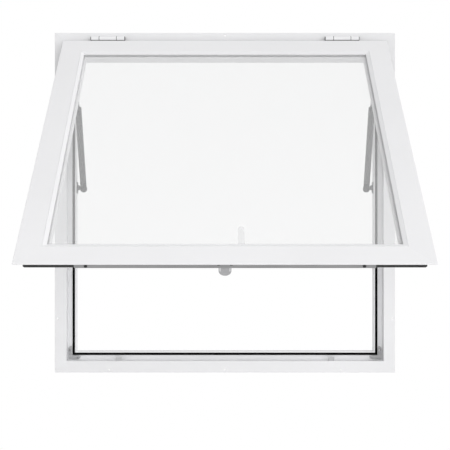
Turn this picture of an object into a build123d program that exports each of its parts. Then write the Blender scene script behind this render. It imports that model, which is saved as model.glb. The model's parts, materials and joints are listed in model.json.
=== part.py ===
import os
from math import cos, radians, sin

from build123d import *

# Concession window in millimetres, with its top-hung sash standing open on two gas struts.
# X runs to the right as seen from outside, Y into the building and Z up. The flange's back
# face lies on Y = 0, and Z = 0 is the middle of the flange's lap under the cut-out.

# Frame extrusion, from its outer edge inwards
outer_width = 982.0
outer_height = 980.0
flange_lap = 31.0
flange_thickness = 2.5
frame_wall = 2.0
channel_width = 12.5
channel_depth = 27.5
rib_width = 1.5
rib_height = 3.0
gasket_slot = 7.2
lip_width = 4.2
lip_height = 4.0
frame_depth = 47.0
edge_bevel = 0.8

# Screw holes in the flange
screw_diameter = 5.0
screw_inset = 7.5
screw_pitch = 334.0

# Frame gasket, a bulb on a flat foot
gasket_play = 0.1
gasket_foot = 4.0
gasket_height = 6.6

# Butt hinges on the head, with the axis in front of the flange
hinge_inset = 128.0
hinge_width = 96.0
middle_knuckle = 49.0
barrel_diameter = 13.5
leaf_thickness = 1.5
leaf_gap = 0.3
frame_leaf_drop = 14.0
sash_leaf_drop = 26.0
hinge_below_top = 17.5
pin_diameter = 5.6
pin_play = 0.15
pin_recess = 0.6
knuckle_play = 0.8

# Sash extrusion, from its outer edge inwards and from its face backwards
sash_inset = 26.0
sash_above_bottom = 25.0
hinge_to_sash = 9.5
open_angle = 48.5
sash_lip = 22.0
sash_face_thickness = 2.5
sash_face = 58.0
face_groove = 1.0
face_groove_depth = 0.6
bevel_width = 9.0
bevel_depth = 3.0
sash_body = 34.0
sash_wall = 2.0
sash_depth = 29.0

# Glazing
glass_setback = 8.0
glass_thickness = 4.0
glass_edge_play = 2.0
glazing_tape = 1.0
tape_setback = 0.5
bead_width = 16.0
bead_wall = 1.5
bead_bevel = 2.0

# Seal and lock bar round the edge of the sash's body
seal_proud = 4.0
seal_width = 9.0
seal_base = 2.0
seal_back = 1.0
bar_inset = 131.0
bar_width = 11.0
bar_slot = 3.0
bar_slot_depth = 2.0
bar_play = 0.3
lock_inset = 26.0
lock_stem = 4.5
lock_stem_length = 1.0
lock_head = 7.5
lock_head_thickness = 1.5

# Lock housing and lever on the inside of the bottom rail
housing_rise = 13.0
housing_width = 29.0
housing_height = 27.0
housing_projection = 38.0
housing_radius = 11.0
housing_rounding = 1.5
plate_left = 22.0
plate_right = 50.0
plate_height = 29.0
plate_thickness = 4.0
plate_radius = 4.0
lever_offset = 37.5
lever_rise = 17.0
lever_boss = 16.0
lever_standoff = 9.0
lever_width = 18.0
lever_tip_width = 14.0
lever_length = 112.0
lever_thickness = 8.0
lever_rounding = 2.0

# Keepers on the outer wall of the sill's channel
keeper_width = 17.0
keeper_foot = 14.0
keeper_thickness = 1.5
keeper_setback = 8.0
keeper_height = 9.0

# Corner keys in the frame's channel, castings with a rim round a shallow pocket
key_upright = 38.0
key_foot = 35.0
key_from_wall = 2.2
key_play = 0.3
key_thickness = 3.0
key_radius = 8.0
key_rim = 1.6
key_pocket = 1.4

# Gas struts between the jambs' inner faces and the backs of the stiles
ball_below_hinge = 428.0
ball_depth = 35.0
ball_from_jamb = 19.2
ball_down_sash = 165.0
ball_diameter = 10.0
stud_diameter = 6.0
stud_hole_play = 0.5
ball_play = 0.2
bracket_thickness = 2.0
bracket_height = 34.0
bracket_width = 18.0
bracket_radius = 3.0
sash_tab_gap = 11.5
sash_tab_thickness = 3.0
sash_tab_height = 18.0
tab_past_ball = 8.0
tube_diameter = 18.0
tube_wall = 1.5
tube_length = 230.0
groove_from_end = 9.0
groove_width = 3.0
groove_depth = 0.8
guide_length = 12.0
rod_diameter = 8.0
rod_play = 0.2
rod_inside = 40.0
piston_length = 8.0
lower_socket_width = 20.0
lower_socket_end = 14.0
lower_socket_neck = 15.0
lower_socket_reach = 17.5
upper_socket_width = 16.0
upper_socket_end = 9.0
upper_socket_neck = 11.0
upper_socket_reach = 14.0
socket_bevel = 1.0

# Places that several pieces share
frame_bottom = -flange_lap / 2
frame_top = frame_bottom + outer_height
frame_middle = Vector(0, 0, (frame_bottom + frame_top) / 2)
channel_edge = flange_lap + frame_wall
slot_edge = channel_edge + channel_width + rib_width
lip_edge = slot_edge + gasket_slot
clear_edge = lip_edge + lip_width
hinge_z = frame_top - hinge_below_top
hinge_y = -flange_thickness - barrel_diameter / 2
hinge_axis = Axis((0, hinge_y, hinge_z), (1, 0, 0))
leaf_stack = 2 * leaf_thickness + leaf_gap
sash_front = -flange_thickness - leaf_stack - sash_face_thickness
sash_back = sash_front + sash_depth
sash_top = hinge_z - hinge_to_sash
sash_bottom = frame_bottom + sash_above_bottom
sash_width = outer_width - 2 * sash_inset
sash_height = sash_top - sash_bottom
sash_middle = Vector(0, sash_front, (sash_top + sash_bottom) / 2)
body_edge = sash_lip + sash_body
nose_edge = sash_face + bevel_width
glass_back = glass_setback + glass_thickness
bead_edge = body_edge + bead_width
bar_length = sash_width - 2 * bar_inset
lock_x = bar_length / 2 - lock_inset
hinge_x = sash_width / 2 - hinge_inset
strut_x = outer_width / 2 - clear_edge - ball_from_jamb

depth_way = Vector(0, 1, 0)
front_view = Plane(origin=(0, 0, 0), x_dir=(1, 0, 0), z_dir=(0, -1, 0))
ways_in = {
    "top": Vector(0, 0, -1),
    "bottom": Vector(0, 0, 1),
    "left": Vector(1, 0, 0),
    "right": Vector(-1, 0, 0),
}
hands = {"left": -1, "right": 1}


def side_plane(middle, width, height, inward):
    # Local X runs inwards from a rectangle's outer edge, local Y into the building.
    reach = width / 2 if inward.X else height / 2
    return Plane(origin=middle - inward * reach, x_dir=inward, z_dir=inward.cross(depth_way))


def mitred_bar(middle, width, height, inward, section):
    # One side of a rectangle, cut at 45 degrees through its outer corners.
    plane = side_plane(middle, width, height, inward)
    length = height if inward.X else width
    with BuildPart() as bar:
        with BuildSketch(plane):
            section()
        extrude(amount=length / 2, both=True)
        for along in (plane.z_dir, -plane.z_dir):
            corner = plane.origin + along * (length / 2)
            split(bisect_by=Plane(origin=corner, z_dir=plane.x_dir + along), keep=Keep.BOTTOM)
    return bar


def ring(middle, width, height, edge, section):
    # A section carried round all four sides, along the rectangle that lies edge inside the outer one.
    plane = side_plane(middle, width, height, ways_in["bottom"])
    right, rise = width / 2 - edge, height / 2 - edge
    corners = [(0, -rise), (right, -rise), (right, rise), (-right, rise), (-right, -rise), (0, -rise)]
    with BuildPart() as loop:
        with BuildLine():
            Polyline(*[(x, middle.Y, middle.Z + z) for x, z in corners])
        with BuildSketch(plane):
            section()
        sweep(transition=Transition.RIGHT)
    return loop


def box_section(left, right, front, back, mode=Mode.ADD):
    with Locations(((left + right) / 2, (front + back) / 2)):
        Rectangle(right - left, back - front, mode=mode)


def swung(point):
    # Where a point of the closed sash stands once the sash is open.
    turn = radians(-open_angle)
    y, z = point.Y - hinge_y, point.Z - hinge_z
    return Vector(point.X, hinge_y + y * cos(turn) - z * sin(turn), hinge_z + y * sin(turn) + z * cos(turn))


def save(solid, name):
    solid.label = name
    export_step(solid, f"parts/{name}.step")


def save_open(solid, name):
    # Sash pieces are modelled closed and swung about the hinges before they are written.
    save(solid.rotate(hinge_axis, -open_angle), name)


# Frame members: flange, channel, ribs of the gasket's slot, and the reveal
def frame_section():
    floor_back = channel_depth + frame_wall
    rib_edge = slot_edge - rib_width
    with BuildLine() as outline:
        Polyline(
            (0, edge_bevel - flange_thickness),
            (edge_bevel, -flange_thickness),
            (channel_edge, -flange_thickness),
            (channel_edge, channel_depth),
            (rib_edge, channel_depth),
            (rib_edge, channel_depth - rib_height),
            (slot_edge, channel_depth - rib_height),
            (slot_edge, channel_depth),
            (lip_edge, channel_depth),
            (lip_edge, channel_depth - lip_height),
            (clear_edge, channel_depth - lip_height),
            (clear_edge, frame_depth),
            (clear_edge - frame_wall, frame_depth),
            (clear_edge - frame_wall, floor_back),
            (flange_lap, floor_back),
            (flange_lap, 0),
            (0, 0),
            close=True,
        )
    make_face(outline.edges())


def screw_places(side):
    across, up = outer_width / 2 - screw_inset, outer_height / 2 - screw_inset
    steps = [0] if side == "top" else [-screw_pitch, 0, screw_pitch]
    if side in ("top", "bottom"):
        return [(step, frame_middle.Z + (up if side == "top" else -up)) for step in steps]
    return [(across * hands[side], frame_middle.Z + step) for step in steps]


frame_names = {
    "top": "frame_head",
    "bottom": "frame_sill",
    "left": "frame_jamb_left",
    "right": "frame_jamb_right",
}
for side, name in frame_names.items():
    bar = mitred_bar(frame_middle, outer_width, outer_height, ways_in[side], frame_section)
    with BuildPart() as member:
        add(bar.part)
        with BuildSketch(front_view):
            with Locations(*screw_places(side)):
                Circle(screw_diameter / 2)
        extrude(amount=flange_thickness, mode=Mode.SUBTRACT)
    save(member.part, name)


# Frame gasket
def gasket_section():
    left, right = slot_edge + gasket_play, lip_edge - gasket_play
    radius = (right - left) / 2
    shoulder = channel_depth - gasket_foot
    tip = channel_depth - gasket_height
    with BuildLine() as outline:
        Line((right, shoulder), (right, channel_depth))
        Line((right, channel_depth), (left, channel_depth))
        Line((left, channel_depth), (left, shoulder))
        ThreePointArc((left, shoulder), (left + radius, tip), (right, shoulder))
    make_face(outline.edges())


gasket = ring(frame_middle, outer_width, outer_height, slot_edge, gasket_section)
save(gasket.part, "frame_gasket")


# Corner keys, lying on the floor of the channel
def key_outline(inset):
    # Distances from the frame's outer edges, across and up, with the two outer ends second and sixth.
    near = channel_edge + key_from_wall + inset
    far = channel_edge + channel_width - key_play - inset
    top, end = near + key_upright - 2 * inset, near + key_foot - 2 * inset
    return [(near, near), (near, top), (far, top), (far, far), (end, far), (end, near)]


def key_sketch(hand, rise, inset):
    edge_x, edge_z = outer_width / 2, outer_height / 2
    places = [(hand * (edge_x - a), frame_middle.Z + rise * (edge_z - b)) for a, b in key_outline(inset)]
    with BuildLine() as outline:
        Polyline(*places, close=True)
    make_face(outline.edges())
    outer_ends = [Vector(*places[1]), Vector(*places[5])]
    fillet([vertices().sort_by_distance(end)[0] for end in outer_ends], key_radius - inset)


for tall, rise in (("top", 1), ("bottom", -1)):
    for hand, way in hands.items():
        with BuildPart() as key:
            with BuildSketch(front_view.offset(-channel_depth)):
                key_sketch(way, rise, 0)
            extrude(amount=key_thickness)
            with BuildSketch(front_view.offset(key_thickness - channel_depth)):
                key_sketch(way, rise, key_rim)
            extrude(amount=-key_pocket, mode=Mode.SUBTRACT)
        save(key.part, f"corner_key_{tall}_{hand}")

# Keepers, each a foot on the channel's wall with a lip that the lock point catches
for hand, way in hands.items():
    with BuildPart() as keeper:
        with BuildSketch(Plane.YZ.offset(way * lock_x)):
            wall_z = frame_bottom + channel_edge
            back = keeper_setback + keeper_foot
            box_section(keeper_setback, back, wall_z, wall_z + keeper_thickness)
            box_section(keeper_setback, keeper_setback + keeper_thickness, wall_z, wall_z + keeper_height)
        extrude(amount=keeper_width / 2, both=True)
    save(keeper.part, f"keeper_{hand}")


# Sash members: overlapping lip, hollow body and bevelled nose over the glass
def sash_section():
    nose_back = glass_setback - glazing_tape
    with BuildLine() as outline:
        Polyline(
            (0, edge_bevel),
            (edge_bevel, 0),
            (sash_face - face_groove, 0),
            (sash_face - face_groove / 2, face_groove_depth),
            (sash_face, 0),
            (nose_edge, bevel_depth),
            (nose_edge, nose_back),
            (body_edge, nose_back),
            (body_edge, sash_depth),
            (sash_lip, sash_depth),
            (sash_lip, sash_face_thickness),
            (0, sash_face_thickness),
            close=True,
        )
    make_face(outline.edges())
    left, right = sash_lip + sash_wall, body_edge - sash_wall
    box_section(left, right, sash_face_thickness, sash_depth - sash_wall, Mode.SUBTRACT)


sash_names = {
    "top": "sash_top_rail",
    "bottom": "sash_bottom_rail",
    "left": "sash_stile_left",
    "right": "sash_stile_right",
}
for side, name in sash_names.items():
    member = mitred_bar(sash_middle, sash_width, sash_height, ways_in[side], sash_section)
    save_open(member.part, name)


# Glazing beads behind the glass, hollow and bevelled towards it
def bead_section():
    with BuildLine() as outline:
        Polyline(
            (body_edge, glass_back),
            (bead_edge - bead_bevel, glass_back),
            (bead_edge, glass_back + bead_bevel),
            (bead_edge, sash_depth),
            (body_edge, sash_depth),
            close=True,
        )
    make_face(outline.edges())
    left, right = body_edge + bead_wall, bead_edge - bead_wall
    box_section(left, right, glass_back + bead_bevel, sash_depth - bead_wall, Mode.SUBTRACT)


for side, inward in ways_in.items():
    bead = mitred_bar(sash_middle, sash_width, sash_height, inward, bead_section)
    save_open(bead.part, f"glazing_bead_{side}")

# Glass and the tape between it and the nose
face_view = front_view.offset(-sash_front)
glass_edge = body_edge + glass_edge_play
with BuildPart() as glass:
    with BuildSketch(face_view.offset(-glass_back)):
        with Locations((0, sash_middle.Z)):
            Rectangle(sash_width - 2 * glass_edge, sash_height - 2 * glass_edge)
    extrude(amount=glass_thickness)
save_open(glass.part, "glass_pane")

tape_edge = nose_edge - tape_setback
with BuildPart() as tape:
    with BuildSketch(face_view.offset(-glass_setback)):
        with Locations((0, sash_middle.Z)):
            Rectangle(sash_width - 2 * glass_edge, sash_height - 2 * glass_edge)
            Rectangle(sash_width - 2 * tape_edge, sash_height - 2 * tape_edge, mode=Mode.SUBTRACT)
    extrude(amount=glazing_tape)
save_open(tape.part, "glazing_tape")


# Edge seal round the sash's body, left out where the lock bar runs
def seal_section():
    back = sash_depth - seal_back
    front = back - seal_width
    shoulder = sash_lip - seal_base
    crown = sash_lip - seal_proud
    with BuildLine() as outline:
        Line((sash_lip, back), (sash_lip, front))
        Line((sash_lip, front), (shoulder, front))
        ThreePointArc((shoulder, front), (crown, (front + back) / 2), (shoulder, back))
        Line((shoulder, back), (sash_lip, back))
    make_face(outline.edges())


seal_loop = ring(sash_middle, sash_width, sash_height, sash_lip, seal_section)
with BuildPart() as seal:
    add(seal_loop.part)
    with BuildSketch(face_view.offset(-sash_depth)):
        with Locations((0, sash_bottom)):
            Rectangle(bar_length + 2 * bar_play, 2 * (sash_lip + bar_play))
    extrude(amount=sash_depth, mode=Mode.SUBTRACT)
save_open(seal.part, "sash_seal")

# Lock bar under the bottom rail, slotted along its length
bottom_plane = side_plane(sash_middle, sash_width, sash_height, ways_in["bottom"])
bar_back = sash_depth - seal_back
bar_front = bar_back - bar_width
bar_crown = sash_lip - seal_proud
with BuildPart() as bar:
    with BuildSketch(bottom_plane):
        box_section(bar_crown, sash_lip, bar_front, bar_back)
        slot_front = (bar_front + bar_back - bar_slot) / 2
        slot_floor = sash_lip - bar_slot_depth
        box_section(slot_floor, sash_lip, slot_front, slot_front + bar_slot, Mode.SUBTRACT)
    extrude(amount=bar_length / 2, both=True)
save_open(bar.part, "lock_bar")

# Lock points, each a stem on the bar with a round head that slides behind its keeper
bar_under = Plane(origin=(0, sash_front, sash_bottom + bar_crown), x_dir=(1, 0, 0), z_dir=(0, 0, -1))
for hand, way in hands.items():
    with BuildPart() as point:
        with BuildSketch(bar_under):
            with Locations((way * lock_x, -(bar_front + bar_back) / 2)):
                Circle(lock_stem / 2)
        extrude(amount=lock_stem_length)
        with BuildSketch(bar_under.offset(lock_stem_length)):
            with Locations((way * lock_x, -(bar_front + bar_back) / 2)):
                Circle(lock_head / 2)
        extrude(amount=lock_head_thickness)
    save_open(point.part, f"lock_point_{hand}")

# Lock housing on the inside of the bottom rail, on a plate that the lever shares
inside_view = face_view.offset(-sash_depth)
housing_low = sash_bottom + sash_lip + housing_rise
with BuildPart() as housing:
    with BuildSketch(Plane.XY.offset(housing_low)):
        with Locations((0, sash_back + housing_projection / 2)):
            Rectangle(housing_width, housing_projection)
        fillet(vertices().group_by(Axis.Y)[-1], housing_radius)
    extrude(amount=housing_height)
    fillet(edges().group_by(Axis.Z)[0], housing_rounding)
    with BuildSketch(inside_view):
        with Locations(((plate_right - plate_left) / 2, housing_low + plate_height / 2)):
            RectangleRounded(plate_right + plate_left, plate_height, plate_radius)
    extrude(amount=-plate_thickness)
save_open(housing.part, "lock_housing")

# Lever, pointing up past the rail's inner edge
lever_z = housing_low + lever_rise
with BuildPart() as lever:
    with BuildSketch(inside_view.offset(-plate_thickness - lever_standoff)):
        with Locations((lever_offset, lever_z)):
            Circle(lever_width / 2)
        with Locations((lever_offset, lever_z + lever_length)):
            Circle(lever_tip_width / 2)
        make_hull()
    extrude(amount=-lever_thickness)
    fillet(edges().group_by(Axis.Y)[-1], lever_rounding)
    with BuildSketch(inside_view.offset(-plate_thickness)):
        with Locations((lever_offset, lever_z)):
            Circle(lever_boss / 2)
    extrude(amount=-lever_standoff)
save_open(lever.part, "lock_lever")


# Butt hinges: three knuckles, the outer two on the frame's leaf and the middle one on the sash's
def hinge_leaf(middle_x, spans, front, bottom):
    back = front + leaf_thickness
    clear_z = hinge_z - barrel_diameter / 2 - knuckle_play
    with BuildPart() as leaf:
        for start, end in spans:
            with BuildSketch(Plane.YZ.offset(middle_x + start)):
                box_section(front, back, clear_z, hinge_z)
                with Locations((hinge_y, hinge_z)):
                    Circle(barrel_diameter / 2)
                    Circle(pin_diameter / 2 + pin_play, mode=Mode.SUBTRACT)
            extrude(amount=end - start)
        with BuildSketch(Plane.YZ.offset(middle_x - hinge_width / 2)):
            box_section(front, back, bottom, clear_z)
        extrude(amount=hinge_width)
    return leaf


half_hinge, half_middle = hinge_width / 2, middle_knuckle / 2
outer_spans = [(-half_hinge, -half_middle - knuckle_play), (half_middle + knuckle_play, half_hinge)]
for hand, way in hands.items():
    middle_x = way * hinge_x
    frame_front = -flange_thickness - leaf_thickness
    frame_leaf = hinge_leaf(middle_x, outer_spans, frame_front, hinge_z - frame_leaf_drop)
    save(frame_leaf.part, f"hinge_{hand}_frame_leaf")
    sash_leaf_front = sash_front + sash_face_thickness
    inner_spans = [(-half_middle, half_middle)]
    sash_leaf = hinge_leaf(middle_x, inner_spans, sash_leaf_front, hinge_z - sash_leaf_drop)
    save_open(sash_leaf.part, f"hinge_{hand}_sash_leaf")
    with BuildPart() as pin:
        with BuildSketch(Plane.YZ.offset(middle_x)):
            with Locations((hinge_y, hinge_z)):
                Circle(pin_diameter / 2)
        extrude(amount=half_hinge - pin_recess, both=True)
    save(pin.part, f"hinge_{hand}_pin")


# Gas struts. Each runs from a ball on the jamb's inner face to a ball behind the stile. The
# left one is drawn, and the right one is its mirror image.
def save_pair(solid, name):
    save(solid, f"strut_left_{name}")
    save(mirror(solid, about=Plane.YZ), f"strut_right_{name}")


def socket(plane, width, end, neck, reach):
    # A moulded end: an eye open towards the stud, and a round neck that meets the tube or rod.
    across = Plane(origin=plane.origin, x_dir=plane.z_dir, z_dir=(1, 0, 0))
    with BuildPart() as piece:
        with BuildSketch(across):
            SlotOverall(2 * end, width)
        extrude(amount=width / 2, both=True)
        chamfer(edges().filter_by(Axis.X, reverse=True), socket_bevel)
        with BuildSketch(plane):
            Circle(neck / 2)
        extrude(amount=reach)
        with BuildSketch(across.offset(ball_diameter / 2 + ball_play)):
            Circle(ball_diameter / 2 + ball_play)
        extrude(amount=-width, mode=Mode.SUBTRACT)
    return piece


low_ball = Vector(-strut_x, ball_depth, hinge_z - ball_below_hinge)
high_ball_closed = Vector(-strut_x, ball_depth, hinge_z - ball_down_sash)
high_ball = swung(high_ball_closed)
span = (high_ball - low_ball).length
low_plane = Plane(origin=low_ball, x_dir=(1, 0, 0), z_dir=high_ball - low_ball)
high_plane = Plane(origin=high_ball, x_dir=(1, 0, 0), z_dir=low_ball - high_ball)

jamb_face = outer_width / 2 - clear_edge
with BuildPart() as bracket:
    with BuildSketch(Plane(origin=(-jamb_face, 0, 0), x_dir=(0, 1, 0), z_dir=(1, 0, 0))):
        with Locations((ball_depth, low_ball.Z)):
            RectangleRounded(bracket_width, bracket_height, bracket_radius)
    extrude(amount=bracket_thickness)
    with BuildSketch(Plane(origin=(-jamb_face, ball_depth, low_ball.Z), z_dir=(1, 0, 0))):
        Circle(stud_diameter / 2)
    extrude(amount=ball_from_jamb)
    with Locations(low_ball):
        Sphere(ball_diameter / 2)
save_pair(bracket.part, "frame_bracket")

low_socket = socket(
    low_plane, lower_socket_width, lower_socket_end, lower_socket_neck, lower_socket_reach
)
save_pair(low_socket.part, "lower_socket")
high_socket = socket(
    high_plane, upper_socket_width, upper_socket_end, upper_socket_neck, upper_socket_reach
)
save_pair(high_socket.part, "upper_socket")

outer, inner = tube_diameter / 2, tube_diameter / 2 - tube_wall
rod_radius = rod_diameter / 2
tube_foot = lower_socket_reach
tube_end = tube_foot + tube_length
side_view = Plane(origin=low_ball, x_dir=(1, 0, 0), z_dir=low_plane.x_dir.cross(low_plane.z_dir))
with BuildPart() as tube:
    with BuildSketch(side_view):
        with BuildLine():
            Polyline(
                (0, tube_foot),
                (outer, tube_foot),
                (outer, tube_end - groove_from_end - groove_width),
                (outer - groove_depth, tube_end - groove_from_end - groove_width / 2),
                (outer, tube_end - groove_from_end),
                (outer, tube_end - tube_wall),
                (outer - tube_wall, tube_end),
                (rod_radius + rod_play, tube_end),
                (rod_radius + rod_play, tube_end - guide_length),
                (inner, tube_end - guide_length),
                (inner, tube_foot + tube_wall),
                (0, tube_foot + tube_wall),
                close=True,
            )
        make_face()
    revolve(axis=Axis(low_ball, low_plane.z_dir))
save_pair(tube.part, "tube")

rod_start = tube_end - guide_length - rod_inside
rod_end = span - upper_socket_reach
with BuildPart() as rod:
    with BuildSketch(side_view):
        with BuildLine():
            Polyline(
                (0, rod_start),
                (inner - rod_play, rod_start),
                (inner - rod_play, rod_start + piston_length),
                (rod_radius, rod_start + piston_length),
                (rod_radius, rod_end),
                (0, rod_end),
                close=True,
            )
        make_face()
    revolve(axis=Axis(low_ball, low_plane.z_dir))
save_pair(rod.part, "rod")

# Angle bracket on the back of the stile, its stud pointing inwards like the lower one
tab_x = strut_x + sash_tab_gap
with BuildPart() as tab:
    with BuildSketch(Plane.XY.offset(high_ball_closed.Z)):
        inner_x, outer_x = strut_x - sash_tab_gap, tab_x + sash_tab_thickness
        tab_back = ball_depth + tab_past_ball
        box_section(-outer_x, -inner_x, sash_back, sash_back + bracket_thickness)
        box_section(-outer_x, -tab_x, sash_back, tab_back)
    extrude(amount=sash_tab_height / 2, both=True)
    with BuildSketch(Plane(origin=(-tab_x, ball_depth, high_ball_closed.Z), z_dir=(1, 0, 0))):
        Circle(stud_diameter / 2)
    extrude(amount=sash_tab_gap)
    with Locations(high_ball_closed):
        Sphere(ball_diameter / 2)
save_pair(tab.part.rotate(hinge_axis, -open_angle), "sash_bracket")
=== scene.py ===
import json
from math import radians

import bmesh
import bpy
from mathutils import Matrix, Vector


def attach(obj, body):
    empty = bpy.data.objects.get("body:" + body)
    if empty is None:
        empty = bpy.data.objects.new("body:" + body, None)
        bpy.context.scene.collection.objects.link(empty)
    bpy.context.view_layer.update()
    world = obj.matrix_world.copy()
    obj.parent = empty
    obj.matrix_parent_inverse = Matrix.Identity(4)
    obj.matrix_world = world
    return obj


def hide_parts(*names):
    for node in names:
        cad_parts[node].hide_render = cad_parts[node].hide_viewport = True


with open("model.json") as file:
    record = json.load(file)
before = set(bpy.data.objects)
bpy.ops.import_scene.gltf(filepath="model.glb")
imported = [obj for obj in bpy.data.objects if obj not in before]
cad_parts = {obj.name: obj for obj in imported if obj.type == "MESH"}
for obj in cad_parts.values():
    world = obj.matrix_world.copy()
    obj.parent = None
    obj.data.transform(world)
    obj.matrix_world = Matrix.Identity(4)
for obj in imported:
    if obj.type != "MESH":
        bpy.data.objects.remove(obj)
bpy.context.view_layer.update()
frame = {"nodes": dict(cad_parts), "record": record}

nodes = frame["nodes"]
hands = {"left": -1, "right": 1}


cameraSettings = {
    "place": (0.0, -2.897, 0.4102),
    "focalPixels": 1003.0,
    "imageWidth": 450.0,
    "sensorWidth": 36.0,
}


def addCamera(settings):
    data = bpy.data.cameras.new("windowCamera")
    data.sensor_width = settings["sensorWidth"]
    data.lens = settings["sensorWidth"] * settings["focalPixels"] / settings["imageWidth"]
    camera = bpy.data.objects.new("windowCamera", data)
    camera.location = settings["place"]
    camera.rotation_euler = (radians(90), 0, 0)
    bpy.context.scene.collection.objects.link(camera)
    bpy.context.scene.camera = camera


addCamera(cameraSettings)
print("camera placed")


class Wire:
    # A node's socket that takes part in Python sums on values.
    def __init__(self, graph, socket):
        self.graph = graph
        self.socket = socket

    def maths(self, operation, first, second):
        return self.graph.node("Math", {"operation": operation}, {0: first, 1: second})

    def __add__(self, other):
        return self.maths("ADD", self, other)

    __radd__ = __add__

    def __sub__(self, other):
        return self.maths("SUBTRACT", self, other)

    def __rsub__(self, other):
        return self.maths("SUBTRACT", other, self)

    def __mul__(self, other):
        return self.maths("MULTIPLY", self, other)

    __rmul__ = __mul__


class Graph:
    # The nodes of one material or world. node() takes a type, its settings, then its sockets' values.
    def __init__(self, owner):
        owner.use_nodes = True
        self.owner = owner
        self.tree = owner.node_tree
        self.tree.nodes.clear()

    def node(self, kind, settings=None, values=None, out=0):
        made = self.tree.nodes.new("ShaderNode" + kind)
        for name, value in (settings or {}).items():
            if name == "stops":
                self.setStops(made.color_ramp, value)
            else:
                setattr(made, name, value)
        for name, value in (values or {}).items():
            if isinstance(value, Wire):
                self.tree.links.new(value.socket, made.inputs[name])
            else:
                made.inputs[name].default_value = value
        return Wire(self, made.outputs[out]) if len(made.outputs) else None

    def setStops(self, ramp, stops):
        while len(ramp.elements) < len(stops):
            ramp.elements.new(1.0)
        for element, (place, colour) in zip(ramp.elements, stops):
            element.position = place
            element.color = (*colour, 1.0)

    def place(self, stretch=(1, 1, 1)):
        where = self.node("TexCoord", out="Object")
        return self.node("Mapping", values={"Vector": where, "Scale": stretch})

    def noise(self, scale, detail=2.0, stretch=(1, 1, 1)):
        return self.node("TexNoise", values={"Vector": self.place(stretch), "Scale": scale, "Detail": detail})

    def ramp(self, value, stops):
        return self.node("ValToRGB", {"stops": stops}, {"Fac": value})

    def spread(self, value, low, high, start=0.0, end=1.0):
        return self.node("MapRange", values={
            "Value": value, "From Min": start, "From Max": end, "To Min": low, "To Max": high,
        })

    def bump(self, height, depth, strength=1.0):
        return self.node("Bump", values={"Height": height, "Distance": depth, "Strength": strength})

    def surface(self, values):
        return self.output(self.node("BsdfPrincipled", values=values))

    def output(self, shader):
        self.node("OutputMaterial", values={"Surface": shader})
        return self.owner


def newFinish(name):
    return Graph(bpy.data.materials.new(name))


def tinted(value, cool=0.0):
    # A grey whose blue is a little stronger.
    return (value, value, min(value + cool, 1.0))


# The part of a noise's range over which a finish goes from its low colour to its high one.
noiseRange = (0.35, 0.65)


def between(low, high):
    return list(zip(noiseRange, (low, high)))


# White powder coat: faint cloudiness, and the fine orange peel of the cured powder.
whitePaint = {
    "colour": tinted(0.88, 0.012),
    "cloud": tinted(0.86, 0.012),
    "cloudScale": 5.0,
    "cloudDetail": 3.0,
    "roughness": (0.36, 0.46),
    "peelScale": 620.0,
    "peelDetail": 1.0,
    "peelDepth": 0.00002,
    "peelStrength": 0.35,
    "peelInRoughness": 0.3,
    "gloss": 0.35,
}


def makeWhitePaint(settings):
    finish = newFinish("whitePaint")
    clouds = finish.noise(settings["cloudScale"], detail=settings["cloudDetail"])
    peel = finish.noise(settings["peelScale"], detail=settings["peelDetail"])
    return finish.surface({
        "Base Color": finish.ramp(clouds, between(settings["cloud"], settings["colour"])),
        "Roughness": finish.spread(clouds + settings["peelInRoughness"] * peel, *settings["roughness"]),
        "Normal": finish.bump(peel, settings["peelDepth"], settings["peelStrength"]),
        "Specular IOR Level": settings["gloss"],
    })


# The hinges' paint, with a dark line of painted shadow under their barrels, where they meet the sash's top
# edge.
hingePaint = {"paintedShadow": tinted(0.16), "lineFrom": 0.9414, "lineTo": 0.9424, "ragged": 0.0003, "scale": 60.0}


def makeHingePaint(settings, paint):
    finish = newFinish("hingePaint")
    peel = finish.noise(paint["peelScale"], detail=paint["peelDetail"])
    where = finish.node("TexCoord", out="Object")
    height = finish.node("SeparateXYZ", values={"Vector": where}, out="Z")
    ragged = height + settings["ragged"] * finish.noise(settings["scale"])
    # Below this height the paint turns to the painted shadow's colour, with a ragged edge.
    clearOfShadow = finish.spread(ragged, 0.0, 1.0, settings["lineFrom"], settings["lineTo"])
    return finish.surface({
        "Base Color": finish.ramp(clearOfShadow, [(0.0, settings["paintedShadow"]), (1.0, paint["colour"])]),
        "Roughness": finish.spread(peel, *paint["roughness"]),
        "Normal": finish.bump(peel, paint["peelDepth"], paint["peelStrength"]),
        "Specular IOR Level": paint["gloss"],
    })


# Clear glass with a slight haze and faint wiping marks.
clearGlass = {
    "colour": (0.86, 0.865, 0.87, 1.0),
    "haze": 0.215,
    "wipeScale": 9.0,
    "wipeStretch": (0.35, 1.0, 1.0),
    "wipeDetail": 5.0,
    "roughness": (0.03, 0.09),
    "ior": 1.5,
}


def makeClearGlass(settings):
    finish = newFinish("clearGlass")
    wipes = finish.noise(settings["wipeScale"], settings["wipeDetail"], settings["wipeStretch"])
    return finish.surface({
        "Base Color": settings["colour"],
        "Roughness": finish.spread(wipes, *settings["roughness"]),
        "Alpha": settings["haze"],
        "IOR": settings["ior"],
    })


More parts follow.
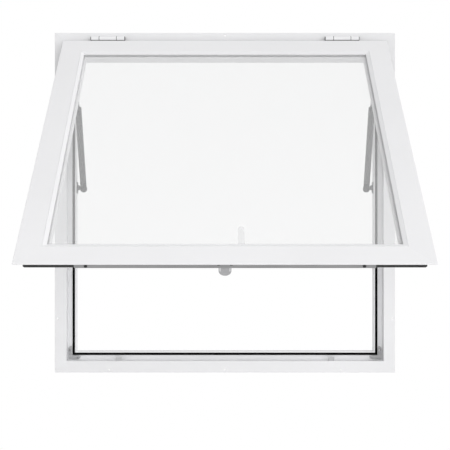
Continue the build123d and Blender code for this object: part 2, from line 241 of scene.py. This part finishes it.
# Finishes with a grain: colour, roughness and depth follow one noise, stretched along a drawn piece.
grained = {
    "black_rubber": {
        "name": "blackRubber", "colour": tinted(0.003), "roughness": (0.6, 0.8), "scale": 500.0,
        "depth": 0.00004, "contrast": 0.3, "gloss": 0.04,
    },
    "grey_tape": {
        "name": "greyTape", "colour": tinted(0.92), "roughness": (0.6, 0.75), "scale": 400.0,
        "depth": 0.00003, "contrast": 0.1, "gloss": 0.3,
    },
    "grey_plastic": {
        "name": "greyPlastic", "colour": tinted(0.54, 0.01), "roughness": (0.42, 0.55), "scale": 800.0,
        "depth": 0.00004, "contrast": 0.06, "gloss": 0.4,
    },
    "black_plastic": {
        "name": "blackPlastic", "colour": tinted(0.012), "roughness": (0.4, 0.55), "scale": 800.0,
        "depth": 0.00003, "contrast": 0.2, "gloss": 0.35,
    },
    "white_plastic": {
        "name": "whitePlastic", "colour": tinted(0.93, 0.01), "roughness": (0.3, 0.42), "scale": 700.0,
        "depth": 0.00002, "contrast": 0.03, "gloss": 0.4,
    },
    "black_paint": {
        "name": "blackPaint", "colour": tinted(0.007), "roughness": (0.13, 0.18), "scale": 650.0,
        "depth": 0.00001, "contrast": 0.2, "gloss": 1.0,
    },
    "mill_aluminium": {
        "name": "millAluminium", "colour": tinted(0.34, 0.005), "roughness": (0.34, 0.5), "scale": 500.0,
        "depth": 0.00002, "contrast": 0.1, "gloss": 0.5, "metallic": 1.0, "stretch": (0.03, 1, 1),
    },
    "steel": {
        "name": "pinSteel", "colour": tinted(0.5, 0.01), "roughness": (0.25, 0.4), "scale": 600.0,
        "depth": 0.00001, "contrast": 0.08, "gloss": 0.5, "metallic": 1.0,
    },
    "rod_chrome": {
        "name": "rodChrome", "colour": tinted(0.14, 0.01), "roughness": (0.12, 0.2), "scale": 500.0,
        "depth": 0.000005, "contrast": 0.03, "gloss": 0.5, "metallic": 1.0,
    },
}


grainDetail = 3.0
grainStrength = 0.5


def makeGrained(settings):
    finish = newFinish(settings["name"])
    grain = finish.noise(settings["scale"], grainDetail, settings.get("stretch", (1, 1, 1)))
    low = tuple(part * (1 - settings["contrast"]) for part in settings["colour"])
    high = tuple(min(part * (1 + settings["contrast"]), 1.0) for part in settings["colour"])
    return finish.surface({
        "Base Color": finish.ramp(grain, between(low, high)),
        "Roughness": finish.spread(grain, *settings["roughness"]),
        "Metallic": settings.get("metallic", 0.0),
        "Normal": finish.bump(grain, settings["depth"], grainStrength),
        "Specular IOR Level": settings["gloss"],
        "Alpha": settings.get("alpha", 1.0),
    })


finishes = {slot: makeGrained(settings) for slot, settings in grained.items()}
finishes["white_paint"] = makeWhitePaint(whitePaint)
finishes["clear_glass"] = makeClearGlass(clearGlass)

# Finishes of single pieces: the greyer seal round the sash, the screws, the housing and the lever.
sealPile = makeGrained({
    "name": "sealPile", "colour": tinted(0.04), "roughness": (0.7, 0.85), "scale": 350.0,
    "depth": 0.00008, "contrast": 0.3, "gloss": 0.3,
})
screwZinc = makeGrained({
    "name": "screwZinc", "colour": tinted(0.32, 0.01), "roughness": (0.22, 0.38), "scale": 900.0,
    "depth": 0.00001, "contrast": 0.1, "gloss": 0.5, "metallic": 1.0,
})
housingMetal = makeGrained({
    "name": "housingMetal", "colour": tinted(0.45, 0.01), "roughness": (0.4, 0.5), "scale": 700.0,
    "depth": 0.00003, "contrast": 0.05, "gloss": 0.4,
})
# The lever's plastic is made three-quarters see-through, so that it shows almost as light as what lies behind
# it instead of shaded behind the glass.
leverPlastic = makeGrained({
    "name": "leverPlastic", "colour": tinted(0.95, 0.01), "roughness": (0.3, 0.42), "scale": 700.0,
    "depth": 0.00002, "contrast": 0.02, "gloss": 0.4, "alpha": 0.25,
})
hingeWhite = makeHingePaint(hingePaint, whitePaint)
print("finishes made")

slotOf = {part["node"]: part["material_slot"] for part in frame["record"]["subparts"]}
for name, slot in slotOf.items():
    nodes[name].data.materials.clear()
    nodes[name].data.materials.append(finishes[slot])
nodes["sash_seal"].data.materials[0] = sealPile
print("frame nodes painted")


def clearSelection():
    bpy.ops.object.select_all(action="DESELECT")


def activate(piece):
    clearSelection()
    piece.select_set(True)
    bpy.context.view_layer.objects.active = piece


def applyModifier(piece, kind, settings):
    activate(piece)
    bpy.ops.object.modifier_add(type=kind)
    modifier = piece.modifiers[-1]
    for name, value in settings.items():
        setattr(modifier, name, value)
    bpy.ops.object.modifier_apply(modifier=modifier.name)


# How squarely a face looks one way, how near two places are, and the angles of flat and smooth edges.
facing = 0.9
squarely = 0.999
nearby = 0.0001
flatAngle = radians(0.5)
smoothAngle = radians(35)
sharpAngle = radians(40)


def fixPlace():
    # Takes the active object's place, turn and size into its mesh.
    bpy.ops.object.transform_apply(location=True, rotation=True, scale=True)


def faceOutwards():
    # In edit mode.
    bpy.ops.mesh.select_all(action="SELECT")
    bpy.ops.mesh.normals_make_consistent(inside=False)


def addCylinder(radius, height, sides):
    # A cylinder that stands on the origin.
    clearSelection()
    bpy.ops.mesh.primitive_cylinder_add(
        vertices=sides, radius=radius, depth=height, location=(0, 0, height / 2)
    )
    fixPlace()
    return bpy.context.object


def addBlock(size, centre, turn=0.0):
    clearSelection()
    bpy.ops.mesh.primitive_cube_add(size=1, location=centre, rotation=(0, 0, turn))
    bpy.context.object.scale = size
    fixPlace()
    return bpy.context.object


def copyModel(model, name, seat):
    # A copy with its own mesh, which takes in the seat's place and turn.
    piece = model.copy()
    piece.data = model.data.copy()
    piece.name = name
    bpy.context.scene.collection.objects.link(piece)
    piece.matrix_world = seat
    activate(piece)
    fixPlace()
    return piece


def selectFaces(piece, wanted):
    # In edit mode: only the faces for which wanted(centre, normal) is true.
    bpy.ops.mesh.select_mode(type="FACE")
    bpy.ops.mesh.select_all(action="DESELECT")
    mesh = bmesh.from_edit_mesh(piece.data)
    for face in mesh.faces:
        face.select_set(wanted(face.calc_center_median(), face.normal))
    bmesh.update_edit_mesh(piece.data)


def finishPiece(piece, material):
    piece.data.materials.clear()
    piece.data.materials.append(material)
    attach(piece, "root")


# The sash stands open about the hinges' axis, so what is fixed to it is placed closed and swung.
swing = {"axis": (0.0, -0.00925, 0.947), "angle": 48.5}
hingeLine = Matrix.Translation(swing["axis"])
swung = hingeLine @ Matrix.Rotation(radians(-swing["angle"]), 4, "X") @ hingeLine.inverted()
closedAgain = swung.inverted()
sashInward = swung.to_3x3() @ Vector((0, 1, 0))


# Extruded and moulded pieces get the small rounded edges that the real ones have.
roundedEdges = {
    "frameExtrusion": {
        "nodes": ["frame_head", "frame_sill", "frame_jamb_left", "frame_jamb_right"],
        "radius": 0.0004, "steps": 2,
    },
    "sashExtrusion": {
        "nodes": ["sash_top_rail", "sash_bottom_rail", "sash_stile_left", "sash_stile_right"],
        "radius": 0.0003, "steps": 2, "groove": {"floor": -0.0077, "deeper": 0.0010},
    },
    "glazingBead": {
        "nodes": ["glazing_bead_top", "glazing_bead_bottom", "glazing_bead_left", "glazing_bead_right"],
        "radius": 0.0003, "steps": 2,
    },
    "cornerKey": {
        "nodes": [f"corner_key_{tall}_{hand}" for tall in ("top", "bottom") for hand in hands],
        "radius": 0.0004, "steps": 2,
    },
    "keeper": {
        "nodes": [f"keeper_{hand}" for hand in hands],
        "radius": 0.0003, "steps": 2,
    },
    "hingeLeaf": {
        "nodes": [f"hinge_{hand}_{leaf}_leaf" for hand in hands for leaf in ("frame", "sash")],
        "radius": 0.0003, "steps": 2, "finish": hingeWhite,
    },
    "lock": {
        "nodes": ["lock_lever"],
        "radius": 0.0006, "steps": 3, "finish": leverPlastic,
    },
    "strutBracket": {
        "nodes": [f"strut_{hand}_{end}_bracket" for hand in hands for end in ("frame", "sash")],
        "radius": 0.0003, "steps": 2,
    },
}


def pieceName(nodeName):
    first, *rest = nodeName.split("_")
    return first + "".join(word.capitalize() for word in rest)


def copyNode(nodeName):
    # A welded copy of a node's mesh, left in edit mode.
    node = nodes[nodeName]
    piece = bpy.data.objects.new(pieceName(nodeName), node.data.copy())
    bpy.context.scene.collection.objects.link(piece)
    activate(piece)
    bpy.ops.object.mode_set(mode="EDIT")
    bpy.ops.mesh.select_all(action="SELECT")
    bpy.ops.mesh.remove_doubles(threshold=0.000002)
    bpy.ops.mesh.normals_make_consistent(inside=False)
    bpy.ops.mesh.dissolve_limited(angle_limit=flatAngle)
    return piece


def selectPoints(piece, wanted):
    # In edit mode: only the points for which wanted(place) is true.
    bpy.ops.mesh.select_mode(type="VERT")
    bpy.ops.mesh.select_all(action="DESELECT")
    mesh = bmesh.from_edit_mesh(piece.data)
    for point in mesh.verts:
        point.select_set(wanted(point.co))
    mesh.select_flush(True)
    bmesh.update_edit_mesh(piece.data)


def deepenGroove(piece, settings):
    selectPoints(piece, lambda place: abs((closedAgain @ place).y - settings["floor"]) < nearby)
    bpy.ops.transform.translate(value=sashInward * settings["deeper"])


def roundEdges(nodeName, settings):
    piece = copyNode(nodeName)
    if "groove" in settings:
        deepenGroove(piece, settings["groove"])
    bpy.ops.object.mode_set(mode="OBJECT")
    applyModifier(piece, "BEVEL", {
        "width": settings["radius"], "segments": settings["steps"], "limit_method": "ANGLE",
        "angle_limit": smoothAngle, "use_clamp_overlap": True,
    })
    activate(piece)
    bpy.ops.object.shade_smooth_by_angle(angle=sharpAngle)
    applyModifier(piece, "WEIGHTED_NORMAL", {"keep_sharp": True})
    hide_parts(nodeName)
    finishPiece(piece, settings.get("finish", finishes[slotOf[nodeName]]))


for group, settings in roundedEdges.items():
    for nodeName in settings["nodes"]:
        roundEdges(nodeName, settings)
    print(group, "edges rounded")


# The seal and the lock bar lie close behind the lip and fill the depth of the sash.
fullDepth = {"nodes": ["sash_seal", "lock_bar"], "further": 0.0016}


def deepenStrip(nodeName, settings):
    piece = copyNode(nodeName)
    selectFaces(piece, lambda centre, normal: normal.dot(sashInward) > facing)
    bpy.ops.transform.translate(value=sashInward * settings["further"])
    bpy.ops.object.mode_set(mode="OBJECT")
    bpy.ops.object.shade_smooth_by_angle(angle=radians(35))
    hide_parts(nodeName)
    finishPiece(piece, nodes[nodeName].data.materials[0])


for nodeName in fullDepth["nodes"]:
    deepenStrip(nodeName, fullDepth)
print("seal and lock bar fitted")


# Pan-head screws, modelled once on the origin with the head towards +Z.
panScrew = {
    "radius": 0.0030,
    "height": 0.0018,
    "crown": 0.0010,
    "crownSteps": 4,
    "recessReach": 0.0016,
    "recessWidth": 0.0007,
    "recessDepth": 0.0012,
    "recessTop": 0.0027,
    "recessTaper": 0.55,
    "sides": 28,
}


def makeCross(settings):
    # Two crossed bars that cut the recess, narrower towards their foot.
    top, foot = settings["recessTop"], settings["height"] - settings["recessDepth"]
    size = (2 * settings["recessReach"], settings["recessWidth"], top - foot)
    taper = settings["recessTaper"]
    bars = []
    for turn in (0, radians(90)):
        bar = addBlock(size, (0, 0, (top + foot) / 2), turn)
        bpy.ops.object.mode_set(mode="EDIT")
        selectFaces(bar, lambda centre, normal: normal.z < -facing)
        bpy.ops.transform.resize(value=(taper, taper, 1))
        bpy.ops.object.mode_set(mode="OBJECT")
        bars.append(bar)
    return bars


def roundTop(piece, edge, steps):
    # Rounds the edge of the face that looks up, and leaves edit mode.
    bpy.ops.object.mode_set(mode="EDIT")
    selectFaces(piece, lambda centre, normal: normal.z > facing)
    bpy.ops.mesh.bevel(offset=edge, segments=steps, affect="EDGES")
    bpy.ops.object.mode_set(mode="OBJECT")
    bpy.ops.object.shade_smooth_by_angle(angle=smoothAngle)


def makePanScrew(settings):
    screw = addCylinder(settings["radius"], settings["height"], settings["sides"])
    roundTop(screw, settings["crown"], settings["crownSteps"])
    for bar in makeCross(settings):
        applyModifier(screw, "BOOLEAN", {"object": bar, "operation": "DIFFERENCE", "solver": "EXACT"})
        bpy.data.objects.remove(bar)
    activate(screw)
    bpy.ops.object.shade_smooth_by_angle(angle=smoothAngle)
    return screw


# Ways that a small piece's top can face.
towards = {
    "out": Matrix.Rotation(radians(90), 4, "X"),
    "in": Matrix.Rotation(radians(-90), 4, "X"),
    "up": Matrix.Identity(4),
    "down": Matrix.Rotation(radians(180), 4, "X"),
    "left": Matrix.Rotation(radians(-90), 4, "Y"),
    "right": Matrix.Rotation(radians(90), 4, "Y"),
}


def fitCopy(model, name, place, way, onSash=False, material=screwZinc):
    seat = Matrix.Translation(place) @ towards[way]
    piece = copyModel(model, name, (swung @ seat) if onSash else seat)
    finishPiece(piece, material)


screwPlaces = {
    "keeper": {"x": 0.308, "apart": 0.0045, "y": 0.0165, "z": 0.0190},
    "cornerKey": {
        "fromEdge": 0.0402, "along": 0.062, "y": 0.0259, "width": 0.982, "low": -0.0155, "high": 0.9645,
    },
    "jambBracket": {"x": 0.4306, "y": 0.035, "z": 0.519, "apart": 0.0115},
    "stileBracket": {"x": 0.4132, "y": 0.0227, "z": 0.782, "apart": 0.0065},
    "lockPlate": {"x": (-0.0182, 0.0215), "y": 0.0247, "z": 0.059},
}


def fitKeyScrews(screw, spot, hand, way):
    legs = ((spot["fromEdge"], spot["along"]), (spot["along"], spot["fromEdge"]))
    for tall, start, step in (("top", spot["high"], -1), ("bottom", spot["low"], 1)):
        for count, (across, up) in enumerate(legs, 1):
            place = (way * (spot["width"] / 2 - across), spot["y"], start + step * up)
            fitCopy(screw, f"cornerKeyScrew.{tall}.{hand}{count}", place, "out")


def fitScrews(screw, places):
    for hand, way in hands.items():
        fitKeyScrews(screw, places["cornerKey"], hand, way)
        for count, side in enumerate((-1, 1), 1):
            spot = places["keeper"]
            place = (way * spot["x"] + side * spot["apart"], spot["y"], spot["z"])
            fitCopy(screw, f"keeperScrew.{hand}{count}", place, "up")
            spot = places["jambBracket"]
            place = (way * spot["x"], spot["y"], spot["z"] + side * spot["apart"])
            fitCopy(screw, f"jambBracketScrew.{hand}{count}", place, "left" if way > 0 else "right")
            spot = places["stileBracket"]
            place = (way * spot["x"] + side * spot["apart"], spot["y"], spot["z"])
            fitCopy(screw, f"stileBracketScrew.{hand}{count}", place, "in", onSash=True)
    spot = places["lockPlate"]
    for count, x in enumerate(spot["x"], 1):
        fitCopy(screw, f"lockPlateScrew.{count}", (x, spot["y"], spot["z"]), "in", onSash=True)


screw = makePanScrew(panScrew)
fitScrews(screw, screwPlaces)
bpy.data.objects.remove(screw)
print("screws fitted")


# Domed plugs close the ends of the hinges' barrels.
barrelPlug = {
    "radius": 0.0059, "height": 0.0016, "dome": 0.0009, "domeSteps": 3, "rim": 0.0016, "dip": 0.0003,
    "sides": 32, "hingeX": 0.337, "reach": 0.048,
}


def makeBarrelPlug(settings):
    plug = addCylinder(settings["radius"], settings["height"], settings["sides"])
    bpy.ops.object.mode_set(mode="EDIT")
    selectFaces(plug, lambda centre, normal: normal.z > facing)
    bpy.ops.mesh.bevel(offset=settings["dome"], segments=settings["domeSteps"], affect="EDGES")
    selectFaces(plug, lambda centre, normal: normal.z > facing)
    bpy.ops.mesh.inset(thickness=settings["rim"])
    bpy.ops.transform.translate(value=(0, 0, -settings["dip"]))
    bpy.ops.object.mode_set(mode="OBJECT")
    bpy.ops.object.shade_smooth_by_angle(angle=smoothAngle)
    return plug


def fitBarrelEnds(model, name, settings):
    # One copy at each end of both barrels, looking away from the barrel's middle.
    black = finishes["black_plastic"]
    for hand, way in hands.items():
        for end, side in (("left", -1), ("right", 1)):
            place = (way * settings["hingeX"] + side * settings["reach"], *swing["axis"][1:])
            fitCopy(model, f"{name}.{hand}.{end}", place, end, False, black)


plug = makeBarrelPlug(barrelPlug)
fitBarrelEnds(plug, "barrelPlug", barrelPlug)
bpy.data.objects.remove(plug)
print("hinge barrels closed")


# Thin black washers part the knuckles, and their black stands in for the shade in the gaps between the
# knuckles.
knuckleShadeWasher = {
    "radius": 0.0069, "height": 0.0013, "edge": 0.0002, "steps": 2, "sides": 40,
    "hingeX": 0.337, "reach": 0.0249,
}


def makeWasher(settings):
    # Both its faces are rounded, and its middle lies on the origin.
    clearSelection()
    bpy.ops.mesh.primitive_cylinder_add(
        vertices=settings["sides"], radius=settings["radius"], depth=settings["height"]
    )
    washer = bpy.context.object
    bpy.ops.object.mode_set(mode="EDIT")
    selectFaces(washer, lambda centre, normal: abs(normal.z) > facing)
    bpy.ops.mesh.bevel(offset=settings["edge"], segments=settings["steps"], affect="EDGES")
    bpy.ops.object.mode_set(mode="OBJECT")
    bpy.ops.object.shade_smooth_by_angle(angle=smoothAngle)
    return washer


washer = makeWasher(knuckleShadeWasher)
fitBarrelEnds(washer, "knuckleShadeWasher", knuckleShadeWasher)
bpy.data.objects.remove(washer)
print("washers fitted")


# The struts' lower ends are moulded round their balls and reach up to the tubes.
lowerSocket = {
    "ball": (0.4134, 0.035, 0.519),
    "highBall": (0.4134, 0.035, 0.782),
    "radius": 0.0104,
    "drop": 0.0036,
    "neck": 0.0088,
    "reach": 0.0172,
    "rim": 0.0012,
    "rimSteps": 3,
    "mouth": 0.0054,
    "mouthSides": 32,
    "sides": 40,
}


def makeLowerSocket(settings):
    clearSelection()
    radius, neck, sides = settings["radius"], settings["neck"], settings["sides"]
    shoulder = (radius ** 2 - neck ** 2) ** 0.5 - settings["drop"]
    bpy.ops.mesh.primitive_uv_sphere_add(
        segments=sides, ring_count=sides // 2, radius=radius, location=(0, 0, -settings["drop"])
    )
    socket = bpy.context.object
    fixPlace()
    bpy.ops.object.mode_set(mode="EDIT")
    bpy.ops.mesh.select_all(action="SELECT")
    bpy.ops.mesh.bisect(plane_co=(0, 0, shoulder), plane_no=(0, 0, 1), use_fill=True, clear_outer=True)
    selectFaces(socket, lambda centre, normal: normal.z > squarely and centre.z > shoulder - nearby)
    bpy.ops.mesh.extrude_region_move(TRANSFORM_OT_translate={"value": (0, 0, settings["reach"] - shoulder)})
    bpy.ops.mesh.bevel(offset=settings["rim"], segments=settings["rimSteps"], affect="EDGES")
    faceOutwards()
    bpy.ops.object.mode_set(mode="OBJECT")
    clearSelection()
    bpy.ops.mesh.primitive_cylinder_add(
        vertices=settings["mouthSides"], radius=settings["mouth"], depth=radius,
        location=(radius / 2, 0, 0), rotation=(0, radians(90), 0),
    )
    mouth = bpy.context.object
    applyModifier(socket, "BOOLEAN", {"object": mouth, "operation": "DIFFERENCE", "solver": "EXACT"})
    bpy.data.objects.remove(mouth)
    activate(socket)
    bpy.ops.object.shade_smooth_by_angle(angle=smoothAngle)
    return socket


def strutSeat(settings, way):
    # The lower ball's place, with +Z up the strut and +X out to the jamb.
    low = Vector(settings["ball"])
    high = swung @ Vector(settings["highBall"])
    lean = Vector((0, 0, 1)).rotation_difference(high - low).to_matrix().to_4x4()
    turn = Matrix.Rotation(0 if way > 0 else radians(180), 4, "Z")
    return Matrix.Translation((way * low.x, low.y, low.z)) @ lean @ turn


socket = makeLowerSocket(lowerSocket)
for hand, way in hands.items():
    piece = copyModel(socket, f"lowerSocket.{hand}", strutSeat(lowerSocket, way))
    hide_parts(f"strut_{hand}_lower_socket")
    finishPiece(piece, finishes["black_plastic"])
bpy.data.objects.remove(socket)
print("lower sockets fitted")


# A turned collar carries each lower ball's stud on its bracket.
studCollar = {
    "foot": 0.0086, "top": 0.0062, "height": 0.0072, "edge": 0.0006, "steps": 3, "sides": 40,
    "place": (0.4306, 0.035, 0.519),
}


def makeStudCollar(settings):
    collar = addCylinder(settings["foot"], settings["height"], settings["sides"])
    share = settings["top"] / settings["foot"]
    bpy.ops.object.mode_set(mode="EDIT")
    selectFaces(collar, lambda centre, normal: normal.z > facing)
    bpy.ops.transform.resize(value=(share, share, 1))
    bpy.ops.object.mode_set(mode="OBJECT")
    roundTop(collar, settings["edge"], settings["steps"])
    return collar


collar = makeStudCollar(studCollar)
for hand, way in hands.items():
    x, y, z = studCollar["place"]
    fitCopy(
        collar, f"studCollar.{hand}", (way * x, y, z), "left" if way > 0 else "right",
        False, finishes["black_paint"],
    )
bpy.data.objects.remove(collar)
print("stud collars fitted")


# The lock's housing: a round-ended body on its plate, with a light band of white plastic along each side of
# its underside.
housing = {
    "halfWidth": 0.0145,
    "front": 0.0207,
    "projection": 0.0418,
    "low": 0.0445,
    "height": 0.027,
    "rounding": 0.0012,
    "roundingSteps": 3,
    "rim": 0.0025,
    "inlay": 0.0017,
    "lightBandEnd": 0.002,
    "sides": 64,
    "plate": {
        "left": -0.022, "right": 0.050, "height": 0.029, "thickness": 0.004,
        "radius": 0.004, "steps": 6, "edge": 0.0005, "edgeSteps": 2,
    },
}


def makeHousingBody(settings):
    clearSelection()
    half, low, front = settings["halfWidth"], settings["low"], settings["front"]
    turn = front + settings["projection"] - half
    bpy.ops.mesh.primitive_cylinder_add(
        vertices=settings["sides"], radius=half, depth=settings["height"],
        location=(0, turn, low + settings["height"] / 2),
    )
    body = bpy.context.object
    fixPlace()
    bpy.ops.object.mode_set(mode="EDIT")
    bpy.ops.mesh.select_all(action="SELECT")
    bpy.ops.mesh.bisect(plane_co=(0, turn, 0), plane_no=(0, -1, 0), use_fill=True, clear_outer=True)
    selectFaces(body, lambda centre, normal: abs(normal.y) > squarely and abs(centre.y - turn) < nearby)
    bpy.ops.mesh.extrude_region_move(TRANSFORM_OT_translate={"value": (0, front - turn, 0)})
    bpy.ops.mesh.select_all(action="SELECT")
    bpy.ops.mesh.dissolve_limited(angle_limit=flatAngle)
    faceOutwards()
    selectFaces(body, lambda centre, normal: normal.z < -facing)
    bpy.ops.mesh.bevel(offset=settings["rounding"], segments=settings["roundingSteps"], affect="EDGES")
    selectFaces(body, lambda centre, normal: normal.z < -squarely)
    bpy.ops.mesh.inset(thickness=settings["rim"] - settings["rounding"])
    bpy.ops.mesh.inset(thickness=settings["inlay"])
    line, near = half - settings["rim"] - settings["inlay"] / 2, settings["inlay"] / 4
    last = turn - settings["lightBandEnd"]
    selectFaces(body, lambda centre, normal: abs(abs(centre.x) - line) < near and centre.y < last)
    body.data.materials.append(housingMetal)
    body.data.materials.append(finishes["white_plastic"])
    body.active_material_index = 1
    bpy.ops.object.material_slot_assign()
    bpy.ops.object.mode_set(mode="OBJECT")
    return body


def bevelEdges(piece, width, steps):
    applyModifier(piece, "BEVEL", {
        "width": width, "segments": steps, "limit_method": "ANGLE", "angle_limit": sharpAngle,
    })


def makeHousingPlate(settings):
    plate = settings["plate"]
    size = (plate["right"] - plate["left"], plate["thickness"], plate["height"])
    corner = (plate["left"], settings["front"], settings["low"])
    piece = addBlock(size, [start + part / 2 for start, part in zip(corner, size)])
    bpy.ops.object.mode_set(mode="EDIT")
    bpy.ops.mesh.select_mode(type="EDGE")
    bpy.ops.mesh.select_all(action="DESELECT")
    mesh = bmesh.from_edit_mesh(piece.data)
    for edge in mesh.edges:
        along = edge.verts[0].co - edge.verts[1].co
        edge.select_set(abs(along.normalized().y) > facing)
    bmesh.update_edit_mesh(piece.data)
    bpy.ops.mesh.bevel(offset=plate["radius"], segments=plate["steps"], affect="EDGES")
    bpy.ops.object.mode_set(mode="OBJECT")
    bevelEdges(piece, plate["edge"], plate["edgeSteps"])
    return piece


def makeHousing(settings):
    plate = makeHousingPlate(settings)
    plate.data.materials.append(housingMetal)
    body = makeHousingBody(settings)
    activate(body)
    plate.select_set(True)
    bpy.ops.object.join()
    body.name = "lockHousing"
    body.matrix_world = swung
    fixPlace()
    bpy.ops.object.shade_smooth_by_angle(angle=smoothAngle)
    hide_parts("lock_housing")
    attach(body, "root")


makeHousing(housing)
print("lock housing made")


# Two small black blocks lie on the lock bar, one at each side of the housing, and darken the bar there.
barDarkBlock = {"size": (0.0058, 0.0040, 0.0012), "edge": 0.0004, "steps": 2, "place": (0.0140, 0.0105, 0.0275)}


def makeBarDarkBlock(settings):
    darkBlock = addBlock(settings["size"], (0, 0, settings["size"][2] / 2))
    roundTop(darkBlock, settings["edge"], settings["steps"])
    return darkBlock


darkBlock = makeBarDarkBlock(barDarkBlock)
for hand, way in hands.items():
    x, y, z = barDarkBlock["place"]
    black = finishes["black_plastic"]
    fitCopy(darkBlock, f"barDarkBlock.{hand}", (way * x, y, z), "down", True, black)
bpy.data.objects.remove(darkBlock)
print("bar darkBlocks fitted")


# An L-shaped rib stands along the inner side of each corner key.
keyRib = {
    "fromEdge": 0.0432, "thickness": 0.0020, "rise": 0.0075, "upright": 0.0262, "foot": 0.0232,
    "front": 0.0170, "width": 0.982, "low": -0.0155, "high": 0.9645, "edge": 0.0004, "steps": 2,
}


def makeKeyRib(settings):
    # The rib of the corner at the left bottom, with its heel on the origin.
    thick, rise = settings["thickness"], settings["rise"]
    rib = addBlock((thick, rise, thick), (thick / 2, rise / 2, thick / 2))
    bpy.ops.object.mode_set(mode="EDIT")
    selectFaces(rib, lambda centre, normal: normal.z > facing)
    bpy.ops.mesh.extrude_region_move(TRANSFORM_OT_translate={"value": (0, 0, settings["upright"] - thick)})
    selectFaces(rib, lambda centre, normal: normal.x > facing and centre.z < thick)
    bpy.ops.mesh.extrude_region_move(TRANSFORM_OT_translate={"value": (settings["foot"] - thick, 0, 0)})
    faceOutwards()
    bpy.ops.object.mode_set(mode="OBJECT")
    bevelEdges(rib, settings["edge"], settings["steps"])
    return rib


rib = makeKeyRib(keyRib)
for hand, way in hands.items():
    for tall, edge, step in (("top", keyRib["high"], -1), ("bottom", keyRib["low"], 1)):
        inset = keyRib["fromEdge"]
        place = (way * (keyRib["width"] / 2 - inset), keyRib["front"], edge + step * inset)
        seat = Matrix.Translation(place) @ Matrix.Diagonal((-way, 1, step, 1))
        piece = copyModel(rib, f"keyRib.{tall}.{hand}", seat)
        bpy.ops.object.mode_set(mode="EDIT")
        faceOutwards()
        bpy.ops.object.mode_set(mode="OBJECT")
        finishPiece(piece, finishes["grey_plastic"])
bpy.data.objects.remove(rib)
print("key ribs fitted")


# A shallow cap over the screw that holds the lever on its spindle.
leverCap = {
    "radius": 0.0052, "height": 0.0011, "edge": 0.0005, "steps": 3, "sides": 32,
    "place": (0.0375, 0.0417, 0.0615),
}


def makeLeverCap(settings):
    cap = addCylinder(settings["radius"], settings["height"], settings["sides"])
    roundTop(cap, settings["edge"], settings["steps"])
    return cap


cap = makeLeverCap(leverCap)
fitCopy(cap, "leverCap", leverCap["place"], "in", True, leverPlastic)
bpy.data.objects.remove(cap)
print("lever cap fitted")


# The floor lies low under the window and turns plain white away from it.
floorSettings = {
    "height": -0.92,
    "size": 60.0,
    "bounce": (0.78, 0.78, 0.78, 1.0),
    "shown": (0.95, 0.95, 0.95, 1.0),
    "whiteShare": 0.35,
    "whiteFrom": 1.0,
    "whiteAt": 2.8,
}


def seenRays(graph):
    # 1 where the camera sees the stage, straight or by way of metal or glass, and 0 for its light.
    shares = [graph.node("LightPath", out=f"Is {kind} Ray") for kind in ("Camera", "Glossy", "Transmission")]
    total = shares[0] + shares[1] + shares[2]
    return total.maths("MINIMUM", total, 1.0)


def makeFloor(settings):
    clearSelection()
    bpy.ops.mesh.primitive_plane_add(size=settings["size"], location=(0, 0, settings["height"]))
    floor = bpy.context.object
    floor.name = "floor"
    fixPlace()
    finish = newFinish("floorPaint")
    seen = seenRays(finish)
    colour = finish.node(
        "Mix", {"data_type": "RGBA"}, {0: seen, 6: settings["bounce"], 7: settings["shown"]}, out=2
    )
    where = finish.node("TexCoord", out="Object")
    away = finish.node("VectorMath", {"operation": "LENGTH"}, {0: where}, out="Value")
    share = finish.spread(away, settings["whiteShare"], 1.0, settings["whiteFrom"], settings["whiteAt"])
    lit = finish.node("BsdfDiffuse", values={"Color": colour})
    white = finish.node("Emission", values={"Color": (1, 1, 1, 1), "Strength": 1.0})
    floor.data.materials.append(finish.output(
        finish.node("MixShader", values={0: seen * share, 1: lit, 2: white})
    ))


makeFloor(floorSettings)

# The studio's light comes from the right, the front and above, each as a wide soft glow: the axis, the
# way along it that the glow comes from, and its strength.
worldSettings = {"glows": {"X": (1.0, 1.30), "Y": (-1.0, 0.60), "Z": (1.0, 0.54)}}


def makeWorld(settings):
    world = bpy.data.worlds.new("studioWorld")
    bpy.context.scene.world = world
    sky = Graph(world)
    way = sky.node("TexCoord", out="Object")
    glow = 0.0
    for axis, (side, strength) in settings["glows"].items():
        part = side * sky.node("SeparateXYZ", values={"Vector": way}, out=axis)
        glow = glow + strength * part.maths("MAXIMUM", part, 0.0)
    level = glow + seenRays(sky) * (1.0 - glow)
    light = sky.node("Background", values={"Color": (1, 1, 1, 1), "Strength": level})
    sky.node("OutputWorld", values={"Surface": light})


makeWorld(worldSettings)

lampSettings = {
    "frontLamp": {"place": (0.15, -3.0, 0.41), "size": 0.8, "watts": 6.4},
    "lowLamp": {"place": (0.4, -3.1, -0.35), "size": 1.0, "watts": 8.6},
    "leftStrip": {"place": (-3.4, -2.9, 0.5), "size": 0.5, "watts": 8.0},
    "rightStrip": {"place": (3.4, -2.7, 0.5), "size": 0.5, "watts": 5.0},
}
lampTarget = Vector((0, -0.3, 0.47))


def addLamp(name, settings):
    data = bpy.data.lights.new(name, "AREA")
    data.shape = "SQUARE"
    data.size = settings["size"]
    data.energy = settings["watts"]
    lamp = bpy.data.objects.new(name, data)
    lamp.location = settings["place"]
    aim = lampTarget - Vector(settings["place"])
    lamp.rotation_euler = aim.to_track_quat("-Z", "Y").to_euler()
    bpy.context.scene.collection.objects.link(lamp)


for name, settings in lampSettings.items():
    addLamp(name, settings)
bpy.context.scene.view_settings.view_transform = "Standard"
print("stage and lamps placed")
